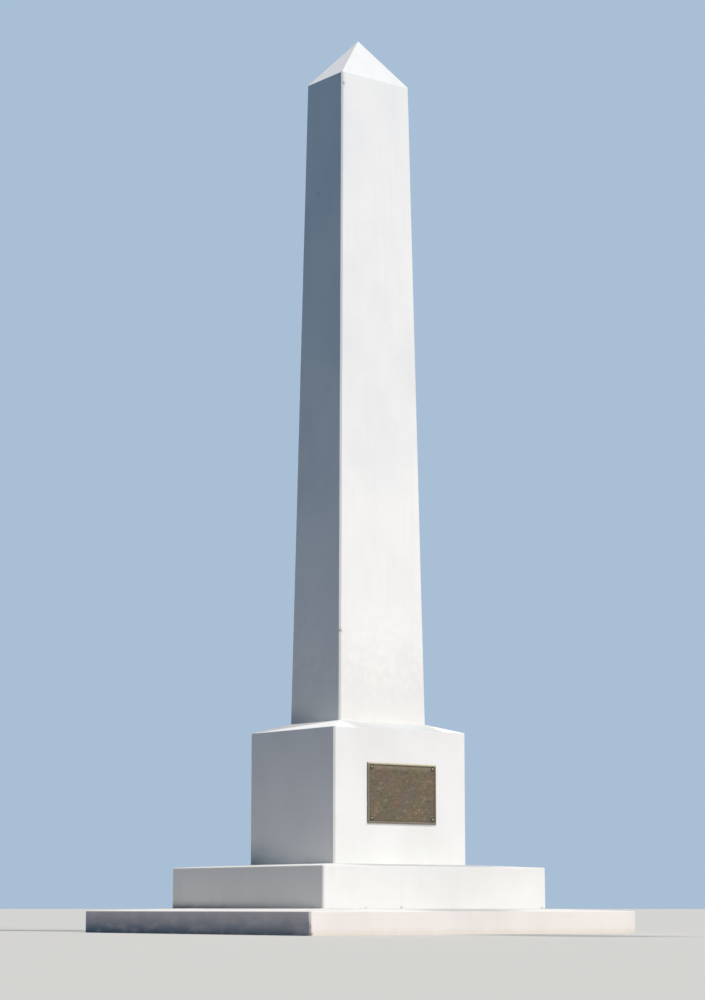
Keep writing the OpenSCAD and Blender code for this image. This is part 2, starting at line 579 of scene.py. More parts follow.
class Palette:
    """Node tree of one material, with the mixtures that all the finishes share."""

    def __init__(self, name: str) -> None:
        """Starts a material whose patterns follow the object's own coordinates.

        Args:
            name: name of the material.
        """
        self.material = bpy.data.materials.new(name)
        self.material.use_nodes = True
        self.tree = self.material.node_tree
        self.tree.nodes.clear()
        self.place = self.put("ShaderNodeTexCoord", "Object")

    def put(self, kind: str, output: str | int, inputs: dict | None = None,
            **settings: object) -> Socket:
        """Adds one node as add_node does, and returns one of its outputs."""
        return add_node(self.tree, kind, inputs, **settings).outputs[output]

    def noise(self, pattern: Pattern) -> Socket:
        """Lays the bare noise of a pattern over the surface.

        Args:
            pattern: the pattern, of which only size, detail, stretch and shift count.

        Returns:
            The noise as a factor.
        """
        mapped = self.put("ShaderNodeMapping", "Vector", {
            "Vector": self.place,
            "Location": (pattern.shift, pattern.shift, pattern.shift),
            "Scale": [1 / (pattern.size * times) for times in pattern.stretch],
        })
        return self.put("ShaderNodeTexNoise", "Fac", {
            "Vector": mapped, "Scale": 1.0, "Detail": pattern.detail,
            "Roughness": NOISE_ROUGHNESS,
        })

    def marks(self, pattern: Pattern) -> Socket:
        """Lays a pattern over the surface.

        Args:
            pattern: the pattern.

        Returns:
            A factor between the pattern's least and its most.
        """
        return self.put("ShaderNodeMapRange", "Result", {
            "Value": self.noise(pattern), "From Min": pattern.low, "From Max": pattern.high,
            "To Min": pattern.least, "To Max": pattern.most,
        }, interpolation_type="SMOOTHSTEP")

    def factor(self, share: Share) -> Socket | float:
        """Makes a factor of what a coat shows by.

        Args:
            share: a pattern, a point attribute, or a factor that is ready.

        Returns:
            The factor.
        """
        if isinstance(share, Pattern):
            return self.marks(share)
        if isinstance(share, Layer):
            return self.put("ShaderNodeAttribute", "Fac", attribute_name=share.value)
        return share

    def lay(self, base: str, *coats: tuple[str | Share, ...]) -> Socket:
        """Lays coats of colour over a base, one on top of the other.

        Args:
            base: hex colour of the base.
            coats: the hex colour of each coat, with one or more shares. It shows by their product.

        Returns:
            The mixed colour.
        """
        colour = linear(base)
        for tone, first, *others in coats:
            shown = self.factor(first)
            for share in others:
                shown = self.put("ShaderNodeMath", "Value", {0: shown, 1: self.factor(share)},
                                 operation="MULTIPLY")
            colour = self.put("ShaderNodeMix", MIX_OUT, {
                0: shown, MIX_A: colour, MIX_B: linear(tone),
            }, data_type="RGBA")
        return colour

    def finish(self, inputs: dict, *heights: tuple[Socket, float]) -> bpy.types.Material:
        """Ends the tree in one surface shader.

        Args:
            inputs: its values and links, without its normal.
            heights: factors that raise the surface on top of each other, with depths in metres.

        Returns:
            The finished material.
        """
        normal: dict[str, Socket] = {}
        for height, depth in heights:
            raised = {"Height": height, "Strength": 1.0, "Distance": depth, **normal}
            normal = {"Normal": self.put("ShaderNodeBump", "Normal", raised)}
        shader = self.put("ShaderNodeBsdfPrincipled", "BSDF", {**inputs, **normal})
        add_node(self.tree, "ShaderNodeOutputMaterial", {"Surface": shader})
        return self.material


@dataclass(frozen=True)
class MasonryPaint:
    """Matt white masonry paint, rolled over cast concrete.

    The eye sees a dead matt white that is very nearly even: slow, faint clouds, thin upright
    streaks where rain has run, a soft roller stipple, and grey concrete in the few chips. Painted
    shade is laid into the colour too: a bluish damp tint at the foot of the left and back faces,
    dust that tones down the tops, and on the shaft a grey that darkens the foot of the first lift.
    """

    name: str
    paint: str = "#F3F0EC"
    cloud: str = "#ECE9E4"
    clouds: Pattern = Pattern(0.7, 0.35, 0.75, stretch=(1, 1, 1.6))
    # Rain streaks 60 mm wide and a metre or more long, how strong they are, and what breaks them up
    streak: str = "#DDD9D0"
    streaks: float = 0.25
    runs: Pattern = Pattern(0.06, 0.48, 0.78, stretch=(1, 1, 20), shift=4.0)
    breaks: Pattern = Pattern(0.45, 0.35, 0.65, detail=1.0, stretch=(1, 1, 2), shift=9.0)
    # Weathered patches of a warmer tone, and how strong they are
    patch: str = "#DCCFBC"
    patches: float = 0.0
    fading: Pattern = Pattern(0.11, 0.42, 0.66, shift=12.0)
    # Soil splashed up from the ground or from a wash, which on the shaft is a grey that darkens the
    # foot of the first lift as painted shade: how much of it there is at most, the level that it
    # comes from, how far it climbs, and what frays its edge
    splash_and_shade: str = "#DDD3BE"
    splash_and_shade_most: float = 0.45
    splash_and_shade_from: float = 0.0
    splash_and_shade_top: float = 0.0
    drops: Pattern = Pattern(0.09, shift=6.0)
    # What settles on the tops, which also tones them down as painted shade: how thick it lies, and
    # the share of that in the thin places
    dust_and_shade: str = "#D6D2C9"
    dust_and_shade_most: float = 0.5
    dust_and_shade_thin: float = 0.6
    dust_and_shade_drifts: Pattern = Pattern(0.3, 0.3, 0.7, shift=14.0)
    # Damp dirt along the foot, in the same way, whose bluish tint on the left and back faces is
    # painted shade as much as dirt
    damp_and_shade: str = "#6E7882"
    grime_and_shade: float = 0.5
    grime_and_shade_thin: float = 0.75
    stains: Pattern = Pattern(0.25, 0.25, 0.6, detail=2.0, stretch=(1, 1, 0.4), shift=8.0)
    # A trace of dirt in the joints between lifts
    dirt: str = "#8F8A80"
    joint_dirt: float = 0.03
    # Bare concrete in the chips
    concrete: str = "#B3AC9F"
    chips: Pattern = Pattern(0.02, 0.3, 0.6, detail=2.0, shift=3.0)
    # Roller stipple of about 4 mm, drawn 12 mm wide so that it still shows, and longer sags of
    # the paint under it, each with its depth
    stipple: Pattern = Pattern(0.012, detail=2.0, shift=1.0)
    stipple_depth: float = 0.14 * MM
    sags: Pattern = Pattern(0.05, detail=2.0, stretch=(1, 1, 5), shift=5.0)
    sag_depth: float = 0.35 * MM
    # Roughness of the plain paint and of its clouds
    matt: float = 0.8
    cloud_matt: float = 0.9

    def build(self) -> bpy.types.Material:
        """Builds the material.

        Returns:
            The finished paint.
        """
        kit = Palette(self.name)
        clouds = kit.marks(self.clouds)
        coats = [(self.cloud, clouds)]
        if self.patches:
            coats.append((self.patch, self.fading.at(self.patches)))
        coats.append((self.streak, self.runs.at(self.streaks), self.breaks))
        if self.splash_and_shade_top:
            coats.append((self.splash_and_shade, self._soil_and_shade(kit)))
        coats += [
            (self.dust_and_shade, Layer.DUST_AND_SHADE, self.dust_and_shade_drifts.at(self.dust_and_shade_most, self.dust_and_shade_thin)),
            (self.damp_and_shade, Layer.DIRT_AND_SHADE, self.stains.at(self.grime_and_shade, self.grime_and_shade_thin)),
            (self.dirt, Layer.SEAM, self.joint_dirt),
            (self.concrete, Layer.WEAR, self.chips),
        ]
        roughness = kit.put("ShaderNodeMapRange", "Result", {
            "Value": clouds, "To Min": self.matt, "To Max": self.cloud_matt,
        }, interpolation_type="SMOOTHSTEP")
        return kit.finish(
            {"Base Color": kit.lay(self.paint, *coats), "Roughness": roughness},
            (kit.noise(self.stipple), self.stipple_depth),
            (kit.noise(self.sags), self.sag_depth),
        )

    def _soil_and_shade(self, kit: Palette) -> Socket:
        """Thins the splash, which on the shaft is painted shade, out towards its frayed upper edge.

        Args:
            kit: the node tree.

        Returns:
            The splash and painted shade as a factor.
        """
        height = kit.put("ShaderNodeSeparateXYZ", "Z", {0: kit.place})
        frayed = kit.put("ShaderNodeMath", "Value", {
            0: kit.noise(self.drops), 1: -self.splash_and_shade_top, 2: height,
        }, operation="MULTIPLY_ADD")
        # The noise is about one half, so this is full at the foot and nil at the full reach
        return kit.put("ShaderNodeMapRange", "Result", {
            "Value": frayed, "From Min": self.splash_and_shade_from + self.splash_and_shade_top / 2,
            "From Max": self.splash_and_shade_from - self.splash_and_shade_top / 2, "To Max": self.splash_and_shade_most,
        }, interpolation_type="SMOOTHSTEP")


@dataclass(frozen=True)
class PatinatedBronze:
    """Cast statuary bronze with a dull brown-olive patina.

    The eye sees a half-matt brown with olive, plum and reddish clouds, a fine sand-cast pebble
    on the ground, paler metal on slopes that look up, partly rain-scoured and partly a painted
    highlight, a slate film on those that look down and to the sides, partly painted shade, dirt
    along the foot of the rim, and painted shade round the bolts.
    """

    # Middle of the tablet, how far its bolts are from there along x and z, and the radius of
    # their rosettes
    middle: tuple[float, float, float]
    bolt: tuple[float, float]
    rosette_r: float
    name: str = "sand_cast_bronze_brown_patina"
    brown: str = "#78674F"
    # Clouds in the patina
    olive: str = "#6B644D"
    olive_clouds: Pattern = Pattern(0.22, 0.4, 0.62)
    plum: str = "#706259"
    plum_clouds: Pattern = Pattern(0.26, 0.44, 0.66, 0.8, detail=2.0, shift=9.0)
    russet: str = "#80604A"
    russet_clouds: Pattern = Pattern(0.2, 0.5, 0.7, 0.7, shift=5.0)
    # Dark stains, and the hollows of the pebbled ground of about 3 mm, drawn 9 mm wide so that
    # it still shows
    hollow: str = "#3E362B"
    stains: Pattern = Pattern(0.03, 0.5, 0.72, 0.45, stretch=(1.6, 1, 0.7), shift=17.0)
    pebble: Pattern = Pattern(0.009, 0.5, 0.35, 0.7, detail=2.0, shift=2.0)
    pebble_depth: float = 0.8 * MM
    # Metal rubbed bright in spots and on what stands proud, and a painted highlight on the rim
    # slopes and rosette domes that look up
    rubbed_metal_and_highlight: str = "#D8CDAF"
    spots: Pattern = Pattern(0.035, 0.52, 0.74, 0.16, stretch=(1.6, 1, 0.7), shift=21.0)
    proud_clouds: Pattern = Pattern(0.05, 0.2, 0.6, 1.0, 0.7, detail=2.0, shift=7.0)
    # Film on the slopes that look down and to the sides, which is partly painted shade
    film: str = "#A19C9A"
    film_and_shade_clouds: Pattern = Pattern(0.08, 0.2, 0.7, 0.8, 0.4, detail=2.0, shift=11.0)
    # Share of dirt in the groove and cove, and of painted shade round the foot of the rosettes
    foot_dirt_and_shade: float = 0.8
    # Where the painted shade round a bolt starts, under the edge of the rosette, and where it ends,
    # both in radii of the rosette
    bolt_shade: tuple[float, float] = (0.94, 1.9)
    metallic: float = 0.35
    # Roughness of the pebbles' hollows and of their tops, and where in the noise they lie
    rough: tuple[float, float] = (0.5, 0.66)
    rough_range: tuple[float, float] = (0.3, 0.7)

    def build(self) -> bpy.types.Material:
        """Builds the material.

        Returns:
            The finished bronze.
        """
        kit = Palette(self.name)
        colour = kit.lay(
            self.brown,
            (self.olive, self.olive_clouds),
            (self.plum, self.plum_clouds),
            (self.russet, self.russet_clouds),
            (self.hollow, self.stains),
            (self.rubbed_metal_and_highlight, self.spots),
            (self.hollow, self.pebble),
            (self.rubbed_metal_and_highlight, Layer.RELIEF_AND_HIGHLIGHT, self.proud_clouds),
            (self.film, Layer.DUST_AND_SHADE, self.film_and_shade_clouds),
            (self.hollow, Layer.DIRT_AND_SHADE, self.foot_dirt_and_shade),
            # Painted shade on the ground round each rosette
            (self.hollow, *self._shade_round_bolts(kit)),
        )
        pebble = kit.noise(self.pebble)
        roughness = kit.put("ShaderNodeMapRange", "Result", {
            "Value": pebble, "From Min": self.rough_range[0], "From Max": self.rough_range[1],
            "To Min": self.rough[0], "To Max": self.rough[1],
        }, interpolation_type="SMOOTHSTEP")
        return kit.finish({
            "Base Color": colour, "Metallic": self.metallic, "Roughness": roughness,
        }, (pebble, self.pebble_depth))

    def _shade_round_bolts(self, kit: Palette) -> list[Socket]:
        """Paints shade on the ground round the four rosettes, which lie the same on all sides.

        Args:
            kit: the node tree.

        Returns:
            Two factors whose product is the painted shade: one rises at its start, one falls to its
            end.
        """
        inner = kit.put("ShaderNodeVectorMath", "Vector", {0: kit.place, 1: self.middle},
                        operation="SUBTRACT")
        folded = kit.put("ShaderNodeVectorMath", "Vector", {0: inner}, operation="ABSOLUTE")
        gap = kit.put("ShaderNodeVectorMath", "Value", {
            0: folded, 1: (self.bolt[0], 0.0, self.bolt[1]),
        }, operation="DISTANCE")
        return [kit.put("ShaderNodeMapRange", "Result", {
            "Value": gap, "From Min": nil_at * self.rosette_r, "From Max": self.rosette_r,
        }, interpolation_type="SMOOTHSTEP") for nil_at in self.bolt_shade]


def showing_rays(tree: bpy.types.NodeTree) -> Socket:
    """Tells the rays that show a surface, directly or in gloss and glass, from those that light.

    Args:
        tree: tree of a material or a world.

    Returns:
        A factor of 1 for the rays that show the surface.
    """
    rays = add_node(tree, "ShaderNodeLightPath").outputs
    shown = rays["Is Camera Ray"]
    for kind in ("Is Glossy Ray", "Is Transmission Ray"):
        node = add_node(tree, "ShaderNodeMath", {0: shown, 1: rays[kind]},
                        operation="ADD", use_clamp=True)
        shown = node.outputs["Value"]
    return shown


@dataclass(frozen=True)
class StudioFloor:
    """Matt floor that looks pale, but bounces grey light near the object and blue light far out."""

    name: str = "matt_studio_floor"
    seen: str = "#C5C2BB"
    bounced: str = "#B2A8A8"
    bounced_far: str = "#244C6E"
    # Metres from the middle at which the near tone starts to fade and has gone
    fading: tuple[float, float] = (4.5, 10.5)
    roughness: float = 0.95

    def build(self) -> bpy.types.Material:
        """Builds the material, whose colour depends on the kind of ray that meets it.

        Returns:
            The finished floor paint.
        """
        kit = Palette(self.name)
        distance = kit.put("ShaderNodeVectorMath", "Value", {0: kit.place}, operation="LENGTH")
        far = kit.put("ShaderNodeMapRange", "Result", {
            "Value": distance, "From Min": self.fading[0], "From Max": self.fading[1],
        }, interpolation_type="SMOOTHSTEP")
        colour = kit.lay(self.bounced, (self.bounced_far, far), (self.seen, showing_rays(kit.tree)))
        return kit.finish({"Base Color": colour, "Roughness": self.roughness})


def tier(node: str, above: str, wash: float, corner: float, nosing: float, segments: int,
         weather: Weathering, grading: Grading) -> Pour:
    """Plans a block with upright faces, a nosing and a wash up to the block above.

    Args:
        node: node of the block.
        above: node of the block that stands on it.
        wash: rise of the wash.
        corner: reach of the chamfer or rounding of the upright arrises.
        nosing: radius of the top edge of the upright faces.
        segments: faces round each corner, of which one makes a chamfer.
        weather: unevenness and wear.
        grading: spacing of the mesh.

    Returns:
        The pour, sized from the frame.
    """
    low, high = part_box(node)
    seat_low, seat_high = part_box(above)
    width, depth = high.x - low.x, high.y - low.y
    outlines = [
        Outline(low.z, width, depth, corner),
        Outline(high.z - wash, width, depth, corner),
        Outline(high.z, seat_high.x - seat_low.x, seat_high.y - seat_low.y, SHARP),
    ]
    return Pour(node, outlines, segments, weather, grading, nosing=nosing)


# Reach along each face of the chamfers that strips in the formwork left on the upright arrises
CHAMFER = 27 * MM / math.sqrt(2)


@dataclass
class Steps:
    """The two wide steps, each one pour with a sloping, hipped top."""

    lower_nosing: float = 10 * MM
    lower_wash: float = 27 * MM
    upper_nosing: float = 16 * MM
    upper_corner: float = 30 * MM
    upper_segments: int = 5
    upper_wash: float = 31 * MM
    grading: Grading = Grading(cell=30 * MM, fine=9 * MM, margin=54 * MM)
    # Worn front-left arris of the lower step, worst at the ground, and marks on the upper step
    frayed: tuple[Scar, ...] = (
        Scar((-2.247, -2.083, 0.015), 0.044, 8 * MM),
        Scar((-2.248, -2.082, 0.070), 0.034, 5 * MM),
        Scar((-2.249, -2.081, 0.125), 0.026, 3 * MM),
    )
    marks: tuple[Scar, ...] = (
        Scar((-1.005, -1.395, 0.276), 0.020, 3 * MM),
        Scar((-0.507, -1.395, 0.276), 0.018, 3 * MM),
        Scar((1.490, -1.395, 0.276), 0.016, 3 * MM),
    )

    def make(self) -> None:
        """Makes both steps, with their seats taken from the blocks that stand on them."""
        # The strong blue damp tint at the foot of the left and back faces is painted shade as much
        # as dirt
        paint = MasonryPaint(
            "masonry_paint_near_the_ground", paint="#ECE6E1", cloud="#E5DED8", streaks=0.3,
            splash_and_shade_top=0.08, damp_and_shade="#1C5474", grime_and_shade=1.0, concrete="#8D8982",
        )
        wear = Weathering(rub=2 * MM, foot_reach=400 * MM, foot_end=0.8, scars=self.frayed)
        lower = tier("lower_step", "upper_step", self.lower_wash, CHAMFER, self.lower_nosing,
                     CHAMFERED, wear, self.grading)
        lower.make(paint.build())
        # The blue damp tint at the foot of the left and back faces is painted shade as much as dirt
        paint = MasonryPaint(
            "masonry_paint_on_the_steps", paint="#E8E6E3", cloud="#E1DFDB", streaks=0.3,
            damp_and_shade="#31475F", grime_and_shade=1.0,
        )
        wear = Weathering(foot_reach=90 * MM, foot_end=0.15, scars=self.marks)
        upper = tier("upper_step", "die", self.upper_wash, self.upper_corner, self.upper_nosing,
                     self.upper_segments, wear, self.grading)
        upper.make(paint.build())


@dataclass
class Die:
    """The plain block that carries the tablet."""

    wash: float = 98 * MM
    nosing: float = 8 * MM
    grading: Grading = Grading(cell=24 * MM, fine=8 * MM)

    def make(self) -> None:
        """Makes the die."""
        # The bluish damp tint at the foot of the left and back faces is painted shade as much as
        # dirt
        paint = MasonryPaint(
            "masonry_paint_on_the_die", paint="#EFEDEA", cloud="#E8E6E2", streaks=0.12, dust_and_shade_most=0.1,
            damp_and_shade="#4C6C85", grime_and_shade=0.9,
        )
        wear = Weathering(foot_reach=330 * MM, foot_end=-0.9)
        block = tier("die", "shaft_lift_1", self.wash, CHAMFER, self.nosing, CHAMFERED, wear,
                     self.grading)
        block.make(paint.build())


@dataclass
class Shaft:
    """The tapering shaft in four lifts, and the pyramidion on it."""

    # Paint of the lifts from the foot up, which differs by a shade, the first a touch darker as
    # painted shade under the light that the wash below bounces up
    shades: tuple[str, ...] = ("#FBF7F1", "#FCF8F2", "#FCF8F2", "#FBF7F2")
    # How far up the first lift the splash from the wash below climbs, a grey that darkens its foot
    # as painted shade
    splash_and_shade_top: float = 1.3
    # Width of the worn point of the pyramidion as a share of its foot
    blunt: float = 0.008
    grading: Grading = Grading(cell=22 * MM, fine=7 * MM, margin=42 * MM)
    # Damage that the photograph shows on the lifts, counted from the foot
    scars: tuple[tuple[int, Scar], ...] = (
        (1, Scar((-0.591, -0.437, 3.297), 0.034, 8 * MM)),
        (4, Scar((-0.519, 0.091, 8.421), 0.020, 5 * MM)),
        (4, Scar((-0.472, -0.331, 9.649), 0.023, 6 * MM)),
        (4, Scar((-0.463, -0.330, 9.604), 0.012, 3 * MM)),
        (4, Scar((-0.461, -0.329, 9.721), 0.012, 3 * MM)),
        (4, Scar((-0.461, -0.328, 9.768), 0.012, 3 * MM)),
    )

    def make(self) -> None:
        """Makes the lifts and the pyramidion."""
        boxes = [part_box(f"shaft_lift_{number}") for number in range(1, len(self.shades) + 1)]
        foot, batter = self._batter(boxes)
        joints = tuple(low.z for low, _ in boxes[1:])
        for number, ((low, high), shade) in enumerate(zip(boxes, self.shades), start=1):
            stands = number == 1
            scars = tuple(scar for lift, scar in self.scars if lift == number)
            wear = Weathering(foot_reach=260 * MM, foot_end=-0.6, scars=scars)
            block = Pour(
                f"shaft_lift_{number}",
                [self._outline(foot, batter, level) for level in (low.z, high.z)],
                CHAMFERED, wear, self.grading, seams=joints, stands=stands,
            )
            paint = MasonryPaint(
                f"masonry_paint_on_lift_{number}", paint=shade, cloud="#F3F0EC", streaks=0.18,
                # The grey splash on the first lift darkens its foot: painted shade
                splash_and_shade="#DCD8D3", splash_and_shade_from=foot.level,
                splash_and_shade_top=self.splash_and_shade_top if stands else 0.0,
                # Bluish damp tint at the foot: painted shade as much as dirt
                damp_and_shade="#4C6C85", grime_and_shade=0.8, concrete="#8E887E",
            )
            block.make(paint.build())
        self._make_point(foot, batter)

    def _batter(self, boxes: list[tuple[Vector, Vector]]) -> tuple[Outline, float]:
        """Works out the foot of the shaft and how fast its faces lean in.

        Args:
            boxes: boxes of the lifts, from the foot up.

        Returns:
            The outline of the foot, and the loss of width for each metre of height.
        """
        (low, high), (next_low, next_high) = boxes[:2]
        foot = Outline(low.z, high.x - low.x, high.y - low.y, CHAMFER)
        loss = (foot.width - (next_high.x - next_low.x)) / (next_low.z - low.z)
        return foot, loss

    def _outline(self, foot: Outline, batter: float, level: float) -> Outline:
        """Returns the outline of the shaft at a level."""
        return foot.drawn_in(batter * (level - foot.level) / 2, level, CHAMFER)

    def _make_point(self, foot: Outline, batter: float) -> None:
        """Makes the pyramidion, whose sharp hips run up to a slightly worn point.

        Args:
            foot: outline of the foot of the shaft.
            batter: loss of width for each metre of height.
        """
        low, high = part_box("pyramidion")
        base = self._outline(foot, batter, low.z)
        tip = Outline(high.z, 0.0, 0.0, SHARP)
        # The chamfers run out where the hips have come in as far as they
        run_out = replace(base.towards(tip, 2 * CHAMFER / (base.width + base.depth)), corner=SHARP)
        point = replace(base.towards(tip, 1 - self.blunt), corner=SHARP)
        block = Pour("pyramidion", [base, run_out, point], CHAMFERED, Weathering(swell=1 * MM),
                     self.grading, stands=False)
        # The paint is a shade duller than the shaft's, which tones down the facets that face the
        # lamps: painted shade
        paint = MasonryPaint(
            "masonry_paint_on_the_pyramidion", paint="#EFEEEC", cloud="#EBE9E6", streaks=0.1,
            patches=0.12,
        )
        block.make(paint.build())


class Corner(Enum):
    """Corners of the tablet, by the names of their rosettes."""

    TOP_LEFT = "rosette_top_left"
    TOP_RIGHT = "rosette_top_right"
    BOTTOM_LEFT = "rosette_bottom_left"
    BOTTOM_RIGHT = "rosette_bottom_right"


@dataclass
class Tablet:
    """Blank bronze tablet with a moulded rim, and a rosette over each of its four bolts."""

    # Moulding of the rim as distance in from the edge and height above the wall, in millimetres:
    # a slope, a fine groove, a bead and a cove, and two rings on the ground that carry its tones
    moulding: tuple[tuple[float, float], ...] = (
        (0.0, 12.5), (0.6, 14.0), (2.5, 15.4), (7.0, 19.2), (9.6, 21.2), (11.0, 21.8), (12.0, 21.0),
        (12.8, 19.4), (13.8, 20.8), (15.0, 23.8), (16.6, 25.0), (18.4, 24.9), (20.2, 23.2),
        (22.0, 20.0), (24.6, 17.0), (27.0, 15.4), (30.0, 14.2), (33.0, 14.0), (46.0, 14.0),
        (80.0, 14.0),
    )
    corner: float = 2 * MM
    corner_faces: int = 2
    grading: Grading = Grading(cell=20 * MM, fine=10 * MM)
    # Dirt lies in the groove and in the cove, each given as its middle and its reach in millimetres
    dirty: tuple[tuple[float, float], ...] = ((12.8, 1.8), (29.0, 6.0))
    # Rain keeps the slopes of the rim that look up bright as far in as this, and a painted
    # highlight lies on them there; film, which is partly painted shade, grows there on the slopes
    # that look down. Both end over the fade
    scoured_and_highlit: float = 23.0
    scour_and_highlight_fade: float = 4.0
    # The scouring and painted highlight at mid height, its gain over the whole height, which makes
    # the upper rim the brighter, and the least of it
    scour_and_highlight_middle: float = 0.5
    top_highlight_gain: float = 1.2
    scour_and_highlight_least: float = 0.15
    # The run-off washes the ground from this far in, and down to this far below the upper edge
    washed_in: float = 32.0
    washed_down: float = 80.0
    wash_fade: float = 40.0
    # Brightness of the crest of the rim, of scoured slopes with their painted highlight, and of rim
    # and ground where washed
    bright_crest: float = 0.28
    bright_slope: float = 0.8
    bright_washed_rim: float = 0.3
    bright_washed_ground: float = 0.16
    # A slope of 30 degrees or more takes its scouring and painted highlight, or its film and
    # painted shade, in full, and one at the side takes less
    slope_gain: float = 2.0
    side_film_and_shade: float = 0.28
    # Turned profile of a rosette and its shank: radius of the flange, its thickness and width, how
    # far its upper edge is cut back and how high its upright side is, then the dome on it
    rosette_r: float = 19 * MM
    flange_t: float = 3 * MM
    flange_w: float = 5 * MM
    flange_edge: float = 1 * MM
    flange_side: float = 1.8 * MM
    dome_h: float = 9 * MM
    dome_rows: int = 7
    dome_gap: float = 0.6 * MM
    shank_r: float = 6 * MM
    facets: int = 48
    # Lobes of a rosette: the hollows between them are deepest halfway out
    lobes: int = 8
    lobe_depth: float = 2.2 * MM
    lobe_fall: float = 0.7
    # Painted highlight on a rosette: its brightness where it looks level, and its gain where it
    # looks up
    bright_dome: float = 0.3
    dome_top_highlight: float = 1.2
    # Degrees between two faces from which their edge looks sharp
    crease: float = 32.0

    def make(self) -> None:
        """Makes the tablet and its rosettes in one bronze."""
        low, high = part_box("plaque")
        bolt_low, bolt_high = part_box(Corner.TOP_RIGHT.value)
        middle = Vector(((low.x + high.x) / 2, low.y, (low.z + high.z) / 2))
        bolt = (bolt_low + bolt_high) / 2 - middle
        bronze = PatinatedBronze(tuple(middle), (bolt.x, bolt.z), self.rosette_r).build()
        self._make_plate(bronze)
        for corner in Corner:
            self._make_rosette(corner, bronze)

    def _stand(self, mesh: bmesh.types.BMesh, low: Vector, high: Vector) -> None:
        """Turns a mesh that was built face up to the front, and sets it at the back of its box.

        Args:
            mesh: the mesh, with its underside at level 0, which is changed.
            low: lower corner of the box.
            high: upper corner of the box.
        """
        foot = Vector(((low.x + high.x) / 2, high.y, (low.z + high.z) / 2))
        upright = Matrix.Translation(foot) @ Matrix.Rotation(math.pi / 2, 4, "X")
        bmesh.ops.transform(mesh, matrix=upright, verts=mesh.verts)

    def _make_plate(self, bronze: bpy.types.Material) -> None:
        """Makes the plate with its rim.

        Args:
            bronze: its material.
        """
        low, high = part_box("plaque")
        base = Outline(0.0, high.x - low.x, high.z - low.z, self.corner)
        loft = Loft(base, self.corner_faces, self.grading)
        for inset, level in self.moulding:
            loft.rise(base.drawn_in(inset * MM, level * MM, base.corner))
        mesh = loft.close()
        self._age_plate(mesh, base)
        self._stand(mesh, low, high)
        make_piece("plaque_casting", mesh, bronze, ("plaque",), self.crease)

    def _age_plate(self, mesh: bmesh.types.BMesh, plan: Outline) -> None:
        """Notes on the plate where metal shows bright, partly as a painted highlight, where film
        and painted shade grow and where dirt lies.

        Args:
            mesh: the plate, still face up, so that its local y axis is to become up.
            plan: its outline.
        """
        relief_and_highlight, foot, film = (mesh.verts.layers.float.new(layer.value)
                              for layer in (Layer.RELIEF_AND_HIGHLIGHT, Layer.DIRT_AND_SHADE, Layer.DUST_AND_SHADE))
        crest, ground = max(level for _, level in self.moulding), self.moulding[-1][1]
        mesh.normal_update()
        for vert in mesh.verts:
            across, up = plan.width / 2 - abs(vert.co.x), plan.depth / 2 - abs(vert.co.y)
            inset = min(across, up) / MM
            proud = clamp((vert.co.z / MM - ground) / (crest - ground))
            # Slopes that look up are painted bright, more along the top edge: painted highlight,
            # partly rain scouring
            on_rim = clamp((self.scoured_and_highlit - inset) / self.scour_and_highlight_fade)
            share = self.scour_and_highlight_middle + self.top_highlight_gain * vert.co.y / plan.depth
            scoured_and_highlit = clamp(self.slope_gain * vert.normal.y) * on_rim
            scoured_and_highlit *= clamp(share, self.scour_and_highlight_least)
            on_ground = inset > self.washed_in
            washed = self.bright_washed_ground if on_ground else self.bright_washed_rim * proud
            below = (plan.depth / 2 - vert.co.y) / MM
            washed *= clamp((self.washed_down - below) / self.wash_fade)
            vert[relief_and_highlight] = clamp(self.bright_crest * proud + self.bright_slope * scoured_and_highlit + washed)
            # Slopes that look down and to the sides take a slate film that is partly painted shade
            down = max(-vert.normal.y, self.side_film_and_shade * abs(vert.normal.x))
            vert[film] = clamp(self.slope_gain * down) * on_rim
            vert[foot] = max(clamp(1 - abs(inset - middle) / reach) for middle, reach in self.dirty)

    def _rosette_profile(self, seat: float) -> list[tuple[float, float]]:
        """Draws the half section of a rosette on its shank.

        Args:
            seat: height of the underside of the flange over the end of the shank.

        Returns:
            Points as radius and height, from the end of the shank to the top of the dome.
        """
        rim = seat + self.flange_t
        dome_r = self.rosette_r - self.flange_w
        profile = [
            (0.0, 0.0), (self.shank_r, 0.0), (self.shank_r, seat), (self.rosette_r, seat),
            (self.rosette_r, seat + self.flange_side), (self.rosette_r - self.flange_edge, rim),
            (dome_r + self.dome_gap, rim),
        ]
        ball = (dome_r ** 2 + self.dome_h ** 2) / (2 * self.dome_h)
        for i in range(self.dome_rows + 1):
            radius = dome_r * (1 - i / self.dome_rows)
            rise = math.sqrt(ball ** 2 - radius ** 2) - (ball - self.dome_h)
            profile.append((radius, rim + rise))
        return profile

